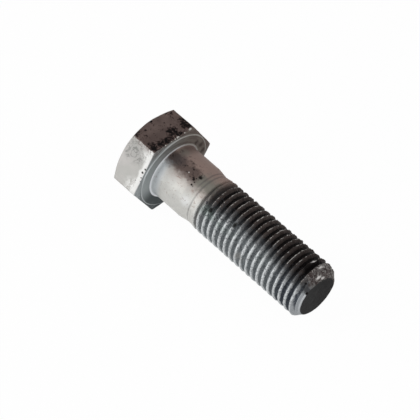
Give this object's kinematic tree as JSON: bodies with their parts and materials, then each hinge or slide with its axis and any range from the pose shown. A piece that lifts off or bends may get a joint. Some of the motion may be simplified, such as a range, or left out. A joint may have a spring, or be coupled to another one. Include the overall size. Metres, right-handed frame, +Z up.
{
  "type": "structural hex bolt",
  "caption": "Hot-dip galvanised hex bolt with a washer face, a plain shank and a part-length right-hand thread, lying as it comes to rest.",
  "frame": {"origin": "on the surface that the bolt lies on, under the middle of its box", "axes": "+X along the bolt from head to tip, which dips by about 4.4 degrees because the head is wider than the thread; +Y across the head's corners; +Z up"},
  "size_m": [0.0966, 0.0412, 0.0365],
  "materials": {
    "galvanised_steel": "dull hot-dip zinc with brown and grey stains"
  },
  "bodies": {
    "root": {"bolt": "galvanised_steel"}
  },
  "joints": []
}
